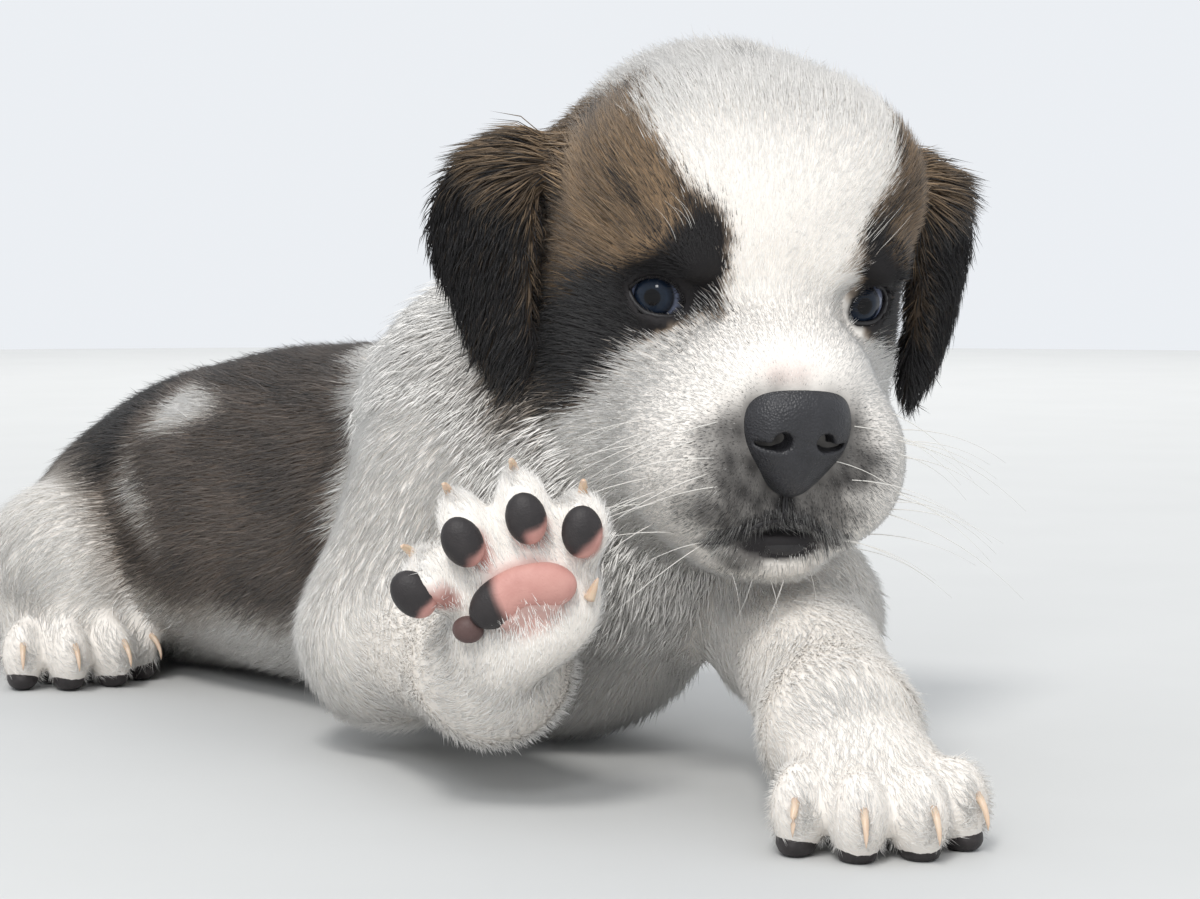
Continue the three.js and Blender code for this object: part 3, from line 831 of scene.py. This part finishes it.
# Nose, eyes, lids, lips, pads and claws
NOSE_LOW = (-17, NOSE_FRONT - 12, -43)
NOSE_HIGH = (17, NOSE_FRONT + 12, -8)
leather_form = join(
    7,
    ball((0, NOSE_FRONT, -20.5), (11.2, 8.6, 7.2)),
    *pair((6, NOSE_FRONT - 0.3, -26), (6, 7.2, 6)),
    ball((0, NOSE_FRONT + 0.5, -31), (8.6, 7.2, 6.6)),
    ball((0, NOSE_FRONT + 0.4, -36), (3.4, 6, 4.2)),
)
slits = join(
    1.2,
    *pair((5, NOSE_FRONT - 8, -26.8), (2.1, 5, 2.1), (0, 20, 0)),
    *pair((8, NOSE_FRONT - 5.5, -28), (2.6, 4.2, 0.75), (0, -8, 0)),
    limb((0.4, NOSE_FRONT - 9.2, -27), (0, NOSE_FRONT - 7.6, -40), 0.5, 0.5),
)
nose_local = nets(carve(leather_form, slits, 1), NOSE_LOW, NOSE_HIGH, 0.62)
nose = mesh_of("nose_leather", from_head(nose_local[0]), nose_local[1], nose_material)
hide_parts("nose")

GAZE = {-1: (-0.6, -1, -0.03), 1: (0.16, -1, -0.03)}
bands, seams = 40, 48
for s, name in SIDE_NAMES:
    centre, _ = eye_frame(s)
    theta = np.linspace(0, math.pi, bands)[1:-1]
    phi = np.linspace(0, 2 * math.pi, seams, endpoint=False)
    grid = np.stack(np.meshgrid(theta, phi, indexing="ij"), -1).reshape(-1, 2)
    ring = np.sin(grid[:, 0])
    unit = np.stack([ring * np.cos(grid[:, 1]), -np.cos(grid[:, 0]), ring * np.sin(grid[:, 1])], 1)
    unit = np.concatenate([unit, [(0, -1, 0), (0, 1, 0)]])
    look = turn_of(HEAD_TURN) @ np.array(GAZE[s])
    look /= np.linalg.norm(look)
    side_axis = np.cross(look, (0, 0, 1))
    side_axis /= np.linalg.norm(side_axis)
    basis = np.stack([side_axis, -look, np.cross(side_axis, look)], axis=1)
    bulge = np.where(unit[:, 1] < -0.86, (-unit[:, 1] - 0.86) / 0.14, 0)
    globe = (unit * (EYE_RADIUS - 0.12 + 0.35 * bulge[:, None] ** 0.7)) @ basis.T + centre
    quads = []
    for i in range(bands - 3):
        for j in range(seams):
            k = (j + 1) % seams
            quads.append((i * seams + j, i * seams + k, (i + 1) * seams + k, (i + 1) * seams + j))
    top, end = len(unit) - 2, len(unit) - 1
    last = (bands - 3) * seams
    caps = [(top, (j + 1) % seams, j) for j in range(seams)]
    caps += [(end, last + j, last + (j + 1) % seams) for j in range(seams)]
    loops = np.concatenate([np.array(quads).ravel(), np.array(caps).ravel()])
    totals = np.concatenate([np.full(len(quads), 4), np.full(len(caps), 3)])
    off = np.arccos(np.clip(-unit[:, 1], -1, 1))
    off_axis = {"off_axis": np.clip(off, 0, 1)}
    eye = mesh_of(f"eyeball_{name}", globe, None, eye_material, masks=off_axis, loops=loops, totals=totals)
    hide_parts(f"eye_{name}")


# A tube with a round section through points, its radius given at each
def tube(path, radius, sides=8, closed=False):
    path = np.asarray(path, float)
    n = len(path)
    ahead = np.roll(path, -1, 0) - np.roll(path, 1, 0) if closed else np.gradient(path, axis=0)
    ahead = unit_rows(ahead)
    u = unit_rows(np.cross(ahead, (0.3, 0.2, 0.93)))
    w = np.cross(ahead, u)
    a = np.linspace(0, 2 * math.pi, sides, endpoint=False)
    r = np.broadcast_to(radius, n)[:, None, None]
    across, up = np.cos(a)[None, :, None], np.sin(a)[None, :, None]
    points = path[:, None] + r * (across * u[:, None] + up * w[:, None])
    faces = []
    for i in range(n if closed else n - 1):
        for j in range(sides):
            k, m = (j + 1) % sides, (i + 1) % n
            faces.append((i * sides + j, m * sides + j, m * sides + k, i * sides + k))
    points = points.reshape(-1, 3)
    if not closed:
        points = np.concatenate([points, path[:1], path[-1:]])
        for j in range(sides):
            k = (j + 1) % sides
            faces.append((len(points) - 2, j, k, k))
            faces.append((len(points) - 1, (n - 1) * sides + k, (n - 1) * sides + j, (n - 1) * sides + j))
    return points, np.array(faces)


def joined_mesh(name, pieces, material, **rest):
    points, loops, totals, start = [], [], [], 0
    for pts, faces in pieces:
        for face in faces:
            corners = list(dict.fromkeys(face.tolist()))
            loops += [c + start for c in corners]
            totals.append(len(corners))
        points.append(pts)
        start += len(pts)
    points, loops, totals = np.concatenate(points), np.array(loops), np.array(totals)
    return mesh_of(name, points, None, material, loops=loops, totals=totals, **rest)


for s, name in SIDE_NAMES:
    lid = tube(on_globe(s, EDGE * 1.03, EYE_RADIUS + 0.55), 0.62, 8, closed=True)
    rim = joined_mesh(f"lid_{name}", [lid], lip_material)

lip_tubes = []
for path in lip_paths:
    taper = np.interp(np.linspace(0, 1, len(path)), (0, 0.2, 0.4, 0.75, 1), (0.3, 0.55, 0.8, 0.6, 0.1))
    lip_tubes.append(tube(path, taper, 8))
lower_lip = join(3, ball((0, -55.4, -52.2), (11.5, 6.6, 3.2)), ball((0, -56.2, -54), (8, 5, 2.8)))
lower_mesh = nets(lower_lip, (-16, -66, -60), (16, -46, -46), 0.9)
lip_tubes.append((from_head(lower_mesh[0]), lower_mesh[1]))
lips = joined_mesh("lips", lip_tubes, lip_material)

RAISED = "forepaw_right"
TOE_SHIFTS = {RAISED: ((-4, 0.3), (-1.2, 0.8), (0, 0.7), (-0.8, 0))}
FLAT_TOES = ((0, 0),) * 4
soles = {}
for paw, (origin, turn, _, _) in PAWS.items():
    lifted = paw == RAISED
    deep = 2.9 if lifted else 3.5
    lobes = pair((7, 2.2, -8.8), (5, 4.2, deep - 0.1))
    soft = [join(4, ball((0, -0.5, -9), (8.5, 4.4, deep)), *lobes)]
    for (x, y, _, spread), (dx, dy) in zip(TOES, TOE_SHIFTS.get(paw, FLAT_TOES)):
        soft.append(ball((x * PAD_SPREAD + dx, y - 1 + dy, -8.7), (4.4, 5.7, deep), (0, 0, spread)))
    if lifted:
        soft.append(ball((-13.4, 4.8, -7.4), (3.4, 3, 2.3), (0, 0, 30)))
    soles[paw] = soft
    shapes = []
    pink = []
    for n, pad in enumerate(soft):
        pts, faces = nets(pad, (-26, -24, -15), (26, 24, -3), 0.8 if lifted else 1.3)
        shapes.append((from_local(pts, origin, turn), faces))
        ripple = wobble(pts, 2, 31) * 0.9
        if n == 0:
            pink.append(smooth(pts[:, 0] + wobble(pts, 3, 33), -6, -3.5))
        elif n == 5:
            pink.append(np.full(len(pts), 0.14))
        else:
            x, y, _, _ = TOES[n - 1]
            dx, dy = TOE_SHIFTS.get(paw, FLAT_TOES)[n - 1]
            pink.append(smooth((pts[:, 0] - x - dx) * 0.5 + (pts[:, 1] - y - dy) * 0.8 + ripple, 1.5, 3.5))
    pink = np.concatenate(pink) if lifted else 0
    shapes = [(np.maximum(p, (-999, -999, 0.2)), f) for p, f in shapes]
    pink = pink * np.ones(sum(len(p) for p, _ in shapes))
    pads = joined_mesh(f"pads_{paw}", shapes, pad_material, masks={"pink": pink})

    claws = []
    for x, y, long, spread in TOES:
        t = np.linspace(0, 1, 9)
        quarter = t * math.pi / 2
        bend = np.stack([0 * t, -(long - 4.5 + 6.6 * np.sin(quarter)), 1.8 - 7 * (1 - np.cos(quarter))], 1)
        bend = bend @ turn_of((0, 0, spread)).T
        path = from_local(bend + np.array((x * 1.02, y, 0)), origin, turn)
        claws.append(tube(path, (1.3 if lifted else 1.05) * (1 - t) ** 0.6 + 0.08, 10))
    if lifted:
        t = np.linspace(0, 1, 9)
        dew = np.array((13, 8, -5)) + t[:, None] * np.array((3.4, -4, -1.6))
        claws.append(tube(from_local(dew, origin, turn), 1.2 * (1 - t) ** 0.6 + 0.08, 10))
    claw = joined_mesh(f"claws_{paw}", claws, claw_material)

lashes = []
for s in SIDES:
    rim_line = EDGE[4:34]
    roots_at = on_globe(s, rim_line * 1.06, EYE_RADIUS + 1.1)
    tips_at = on_globe(s, rim_line * 0.98 + np.array((-0.5, 0.25)), EYE_RADIUS + 3.6)
    for root, tip in zip(roots_at, tips_at):
        t = np.linspace(0, 1, 6)[:, None]
        reach = tip + rng.normal(size=3) * 0.35
        path = root + (reach - root) * t + np.array((0, 0, -0.9)) * t * (1 - t)
        lashes.append(tube(path, 0.13 * (1 - 0.85 * t[:, 0]), 4))
lash_mesh = joined_mesh("lashes", lashes, lip_material)

whiskers = []
for s in SIDES:
    for n in range(22):
        start = np.array((s * rng.uniform(13, 27), rng.uniform(-60, -46), rng.uniform(-46, -26)))
        root = settle(skin_base, from_head(start).astype(np.float32), 8, 4)[0]
        out = np.array((s * rng.uniform(0.8, 1.2), rng.uniform(-0.25, 0.3), rng.uniform(-0.45, 0.1)))
        out = turn_of(HEAD_TURN) @ (out / np.linalg.norm(out))
        long = rng.uniform(16, 38)
        t = np.linspace(0, 1, 9)[:, None]
        path = root + out * long * t + np.array((0, 0.12, -0.28)) * long * t**2
        whiskers.append(tube(path, 0.13 * (1 - 0.8 * t[:, 0]), 4))
for n in range(16):
    s = SIDES[n % 2]
    above = n < 10
    start = (s * rng.uniform(17, 27), -38, rng.uniform(11, 15)) if above else (rng.uniform(-12, 12), -58, -62)
    root = settle(skin_base, from_head(start).astype(np.float32), 8, 4)[0]
    out = turn_of(HEAD_TURN) @ np.array((s * 0.4, -0.5, 0.75) if above else (s * 0.3, -0.5, -0.8))
    t = np.linspace(0, 1, 8)[:, None]
    path = root + out * rng.uniform(9, 17) * t + np.array((0, 1, -0.5)) * 4 * t**2
    whiskers.append(tube(path, 0.07 * (1 - 0.8 * t[:, 0]), 4))
whisker_mesh = joined_mesh("whiskers", whiskers, whisker_material)


# The lie of the coat: towards the tail on the body, away from the nose on the head, along the limbs
def flow_of(p):
    h = local(p, HEAD_CENTRE, HEAD_TURN)
    w = shares(p, 6)
    head_turn = turn_of(HEAD_TURN)
    from_nose = h - np.array(FLOW_CENTRE)
    from_nose[:, 2] += 0.25 * np.maximum(h[:, 2], 0)
    from_nose[:, 2] -= 0.5 * smooth(h[:, 1], -20, 20) * 40
    head_flow = from_nose @ head_turn.T
    flows = []
    for name in NAMES:
        if name == "head":
            flow = head_flow
        elif name.startswith("ear"):
            s = -1 if name == "ear_right" else 1
            out = smooth(h[:, 2], 10, 28)[:, None] * np.array((s * 1.2, 0.2, 0.3))
            flow = (out + np.array((0, -0.15, -1))) @ head_turn.T
        elif name == "neck":
            flow = np.broadcast_to((0, 0.75, -0.8), p.shape)
        elif name == "body":
            flow = np.broadcast_to((0, 1, -0.4), p.shape)
        elif name in feet:
            flow = np.broadcast_to(turn_of(PAWS[name][1]) @ np.array((0, -1, -0.15)), p.shape)
        else:
            bars = TAIL if name == "tail" else BARS[name]
            d = np.stack([limb(*bar)(p) for bar in bars], 1)
            near = np.exp(-(d - d.min(1, keepdims=True)) / 6)
            ways = [np.subtract(bar[1], bar[0]) for bar in bars]
            flow = near @ np.array([way / np.linalg.norm(way) for way in ways])
        flows.append(unit_rows(flow))
    return (np.stack(flows, 1) * w[:, :, None]).sum(1)


# An unwrap of the skin: each part has a tile, and angle and distance along the part place a point in it
def unwrap(p, which):
    uv = np.zeros((len(p), 2))
    h = local(p, HEAD_CENTRE, HEAD_TURN)
    tiles = 4
    for n, name in enumerate(NAMES):
        pick = which == n
        if not pick.any():
            continue
        q, k = p[pick], h[pick]
        if name == "head":
            u = np.arctan2(k[:, 0], -(k[:, 1] + 5)) / (2 * math.pi) + 0.5
            v = np.arccos(np.clip(k[:, 2] / (np.linalg.norm(k - (0, -5, 0), axis=1) + 1e-6), -1, 1)) / math.pi
        elif name.startswith("ear"):
            s = -1 if name == "ear_right" else 1
            outer = ((k - np.array((s * 57, 4, 0))) @ np.array((s * 0.67, -0.74, 0))) > 0
            across = (k @ np.array((s * 0.74, 0.67, 0)) - 10) / 80
            u = np.clip(across, 0, 0.48) + np.where(outer, 0.5, 0)
            v = (k[:, 2] + 40) / 85
        elif name in ("body", "neck"):
            u = np.arctan2(q[:, 0] + 4, q[:, 2] - 50) / (2 * math.pi) + 0.5
            v = (q[:, 1] + 70) / 360
        elif name in feet:
            f = local(q, *PAWS[name][:2])
            u = np.arctan2(f[:, 0], f[:, 2]) / (2 * math.pi) + 0.5
            v = (f[:, 1] + 32) / 66
        else:
            bars = TAIL if name == "tail" else BARS[name]
            d = np.stack([limb(*bar)(q) for bar in bars], 1)
            best = d.argmin(1)
            u, v = np.zeros(len(q)), np.zeros(len(q))
            for b, (a, e, _, _) in enumerate(bars):
                own = best == b
                a, e = np.array(a, float), np.array(e, float)
                axis = (e - a) / np.linalg.norm(e - a)
                side = np.cross(axis, (0.1, 0.2, 0.97))
                side /= np.linalg.norm(side)
                off = q[own] - a
                t = off @ axis / np.linalg.norm(e - a)
                u[own] = np.arctan2(off @ side, off @ np.cross(axis, side)) / (2 * math.pi) + 0.5
                v[own] = (b + 0.1 + 0.8 * np.clip(t, -0.1, 1.1)) / len(bars)
        tile = np.stack([u, v], 1).clip(0.02, 0.98)
        uv[pick] = (tile + np.array((n % tiles, n // tiles))) / tiles
    return uv


# Roots: spread over the skin by area, each part with its own density
tri = skin_points[skin_faces]
halves = [np.cross(tri[:, n] - tri[:, 0], tri[:, 2] - tri[:, 0]) for n in (1, 3)]
area = sum(np.linalg.norm(half, axis=1) for half in halves) / 2
middle = tri.mean(axis=1)
middle_shares = shares(middle)
wanted = area * (middle_shares @ by_part(DENSITY))
wanted *= 1 + middle_shares[:, 0] * fineness(local(middle, HEAD_CENTRE, HEAD_TURN)) * 0.9
wanted *= np.where(middle[:, 2] < 3, 0.15, 1)
wanted *= 1 - 0.8 * bare_skin(middle)
wanted *= np.where(soles_near(middle) < 0.3, 0, 1)
wanted *= np.where(in_head(leather_form)(middle) < 0.3, 0, 1)
wanted *= np.where(lips_near(middle) < 0.7, 0, 1)
wanted *= np.where(in_head(lower_lip)(middle) < 0.2, 0.55, 1)
for s in SIDES:
    wanted *= np.where(np.linalg.norm(in_eye(s, middle), axis=1) < LID_BALD, 0, 1)
if quick:
    wanted *= QUICK_SHARE
count = np.floor(wanted + rng.random(len(wanted))).astype(int)
which = np.repeat(np.arange(len(count)), count)
u, v = rng.random(len(which)), rng.random(len(which))
corner = tri[which]
roots = ((1 - u)[:, None] * ((1 - v)[:, None] * corner[:, 0] + v[:, None] * corner[:, 3])
         + u[:, None] * ((1 - v)[:, None] * corner[:, 1] + v[:, None] * corner[:, 2])).astype(np.float32)
# Hairs over the upper lip and under the lower one
lip_hairs = QUICK_LIP_HAIRS if quick else LIP_HAIRS
across = rng.uniform(-17, 17, lip_hairs)
under_lip = rng.random(lip_hairs) < 0.45
upper = np.interp(np.abs(across), (0, 5, 10, 14, 17), (-44.6, -46.6, -49.2, -51.4, -52.6))
upper = upper + rng.uniform(0.2, 3.2, lip_hairs)
lower_rim = -55 - rng.uniform(-1.5, 4, lip_hairs) + 0.012 * across**2
starts = np.stack([across, np.full(lip_hairs, -62.0), np.where(under_lip, lower_rim, upper)], 1)
fringe = settle(skin_base, from_head(starts).astype(np.float32), 8, 4)
roots = np.concatenate([roots, fringe])
on_lips = np.arange(len(roots)) >= len(roots) - lip_hairs
root_shares = shares(roots)
part_of = root_shares.argmax(axis=1)
head_place = local(roots, HEAD_CENTRE, HEAD_TURN)
fine = fineness(head_place) * root_shares[:, 0]
normal = unit_rows(slope_of(whole, roots))
flow = flow_of(roots)
flow += 0.16 * np.stack([wobble(roots, 9, 41), wobble(roots, 9, 43), wobble(roots, 9, 45)], 1)
flow += rng.normal(size=flow.shape) * 0.12
flow -= normal * (flow * normal).sum(axis=1, keepdims=True)
flow = unit_rows(flow)
long = (root_shares @ by_part(LENGTH)) * (1 - 0.66 * fine) * rng.uniform(0.7, 1.2, len(roots))
near_nose = 1 - smooth(np.linalg.norm(head_place - np.array((0, -66, -26)), axis=1), 13, 24)
long *= 1 - 0.5 * near_nose * root_shares[:, 0]
by_ear = np.max([zone(head_place, (s * 46, 6, 26), (15, 22, 18), 0.5, 1.2) for s in SIDES], axis=0)
crown_fluff = smooth(head_place[:, 2], 34, 50) * root_shares[:, 0]
long *= 1 + 0.85 * by_ear + 0.45 * crown_fluff
long = np.where(on_lips, rng.uniform(3.2, 5.5, len(roots)), long)
wide = 0.025 * long + TUFT_WIDTH
lift = np.radians(rng.uniform(*TUFT_LIFT, len(roots)))
stray = rng.random(len(roots)) < STRAY_SHARE
lift = np.where(stray, lift * 1.7, lift)
lift = np.where(on_lips, rng.uniform(0.3, 0.8, len(roots)), lift)
marks = markings(roots, 1.3)
tint = rng.normal(size=len(roots)).clip(-2, 2) / 2
tan_mark, dark_mark = marks["tan"], marks["dark"]
speckle = 0.42 * tan_mark * (1 - 0.7 * dark_mark) + 2 * dark_mark * (1 - dark_mark) * (1 - 0.7 * tan_mark)
where_uv = unwrap(roots, part_of)

CURVED = ((0, 2, 1), (0, 1, 4, 3), (1, 2, 5, 4), (2, 0, 3, 5), (3, 4, 6), (4, 5, 6), (5, 3, 6))
STRAIGHT = ((0, 2, 1), (0, 1, 3), (1, 2, 3), (2, 0, 3))
PATCH = np.array([(-1, -1), (1, -1), (0, 1), (-0.7, -0.6), (0.7, -0.6), (0, 0.8), (0, 0)]) * 0.0015


# Lifts a tip that would end inside the skin
def groomed(tip, root_normal, size):
    height = (whole(tip.astype(np.float32)) + depth_of(tip.astype(np.float32)))[:, None]
    return tip + root_normal * np.maximum(0.1 * size + 0.25 - height, 0)


def tufts(name, pick, curved):
    r, n, f = roots[pick], normal[pick], flow[pick]
    side = np.cross(f, n)
    size = long[pick][:, None]
    w = wide[pick][:, None] / 2
    a = lift[pick][:, None]
    ends = [r - n * 0.5]
    if curved:
        ends.append(r + size * 0.5 * (f * np.cos(a) + n * np.sin(a)))
        ends.append(ends[1] + size * 0.5 * (f * np.cos(a * 0.25) + n * np.sin(a * 0.25)))
        widths = [1.0, 0.8]
        tip = groomed(ends[2], n, size)
        ends[1] += (tip - ends[2]) * 0.55
        ends[2] = tip
    else:
        ends.append(groomed(r + size * (f * np.cos(a * 0.6) + n * np.sin(a * 0.6)), n, size))
        widths = [1.0]
    verts = []
    for end, share in zip(ends, widths):
        for angle in (math.pi / 2, math.pi * 7 / 6, math.pi * 11 / 6):
            verts.append(end + w * share * (side * math.cos(angle) + n * 0.5 * math.sin(angle)))
    verts.append(ends[-1])
    block = np.stack(verts, axis=1)
    block[:, :, 2] = np.maximum(block[:, :, 2], FLOOR_CLEAR)
    each = block.shape[1]
    pattern = CURVED if curved else STRAIGHT
    flat = np.concatenate([np.array(face) for face in pattern])
    loops = (np.arange(len(r))[:, None] * each + flat).ravel()
    totals = np.tile([len(face) for face in pattern], len(r))
    offsets = PATCH if curved else PATCH[[0, 1, 2, 6]]
    uv = where_uv[pick][:, None, :] + offsets[flat][None]
    along = np.array([0, 0, 0, 0.5, 0.5, 0.5, 1] if curved else [0, 0, 0, 1.0])

    def spread(values):
        return np.repeat(values[pick], each)

    masks = {key: spread(values) for key, values in marks.items()}
    masks.update(tint=spread(tint), speckle=spread(speckle), along=np.tile(along, len(r)))
    points, uv = block.reshape(-1, 3), uv.reshape(-1, 2)
    coat = mesh_of(name, points, None, coat_material, masks=masks, loops=loops, totals=totals, uv=uv)


SHORT = ("head", "body", *BARS, *feet)
GROUPS = {
    "coat_face": ["head"],
    "coat_ears": ["ear_right", "ear_left"],
    "coat_paws": feet,
    "coat_neck": ["neck"],
    "coat_body": ["body"],
    "coat_legs": BARS,
    "coat_tail": ["tail"],
}
MOST = 195000
for group, parts in GROUPS.items():
    members = [NAMES.index(name) for name in parts]
    chosen = np.flatnonzero(np.isin(part_of, members))
    curved = NAMES[members[0]] not in SHORT
    each = 10 if curved else 4
    chunks = max(1, math.ceil(len(chosen) * each / MOST))
    order = chosen[np.argsort(where_uv[chosen, 0])]
    for n, chunk in enumerate(np.array_split(order, chunks)):
        tufts(f"{group}_{n + 1}", chunk, curved)

# Floor, light and camera
floor_material, tree, bsdf = shader("floor", 0.85, Specular_IOR_Level=0.15)
two_tones(tree, bsdf, 12, (0.57, 0.575, 0.57), (0.61, 0.615, 0.61), 4)
floor = bpy.data.meshes.new("floor")
around = np.linspace(0, 2 * math.pi, FLOOR_SIDES, endpoint=False)
rim = [(FLOOR_RADIUS * math.cos(a), FLOOR_RADIUS * math.sin(a), 0) for a in around]
floor.from_pydata(rim, [], [tuple(range(FLOOR_SIDES))])
floor.materials.append(floor_material)
in_scene("floor", floor)

world = bpy.data.worlds.new("sky")
bpy.context.scene.world = world
world.use_nodes = True
sky = world.node_tree.nodes["Background"].inputs
sky["Color"].default_value = (0.93, 0.96, 1, 1)
sky["Strength"].default_value = 0.9


def light(name, kind, place, energy, size, colour, target=(0, 0, 0.08)):
    data = bpy.data.lights.new(name, kind)
    data.energy = energy
    data.color = colour
    if kind == "AREA":
        data.size = size
    else:
        data.angle = size
    obj = in_scene(name, data)
    obj.location = place
    way = np.array(target) - np.array(place)
    tilt = math.acos(-way[2] / np.linalg.norm(way))
    obj.rotation_euler = (tilt, 0, math.atan2(way[1], way[0]) - math.pi / 2)


light("sun", "SUN", (-1.5, -1.3, 2.6), 1.35, math.radians(14), (1, 0.98, 0.95))
light("catch", "AREA", (-0.75, -0.85, 0.62), 2.4, 0.2, (1, 1, 1), (-0.02, -0.15, 0.11))
light("back", "AREA", (1.2, 1.6, 1.5), 12, 1.4, (1, 0.98, 0.95))

camera = bpy.data.cameras.new("camera")
camera.lens = CAMERA_LENS
camera.sensor_width = CAMERA_SENSOR
camera.clip_start = 0.01
camera_obj = in_scene("camera", camera)
camera_obj.location = metres(CAMERA_PLACE)
camera_obj.rotation_euler = (math.radians(90 - CAMERA_FALL), 0, math.radians(-CAMERA_AZIMUTH))
bpy.context.scene.camera = camera_obj
bpy.context.scene.view_settings.view_transform = "Standard"
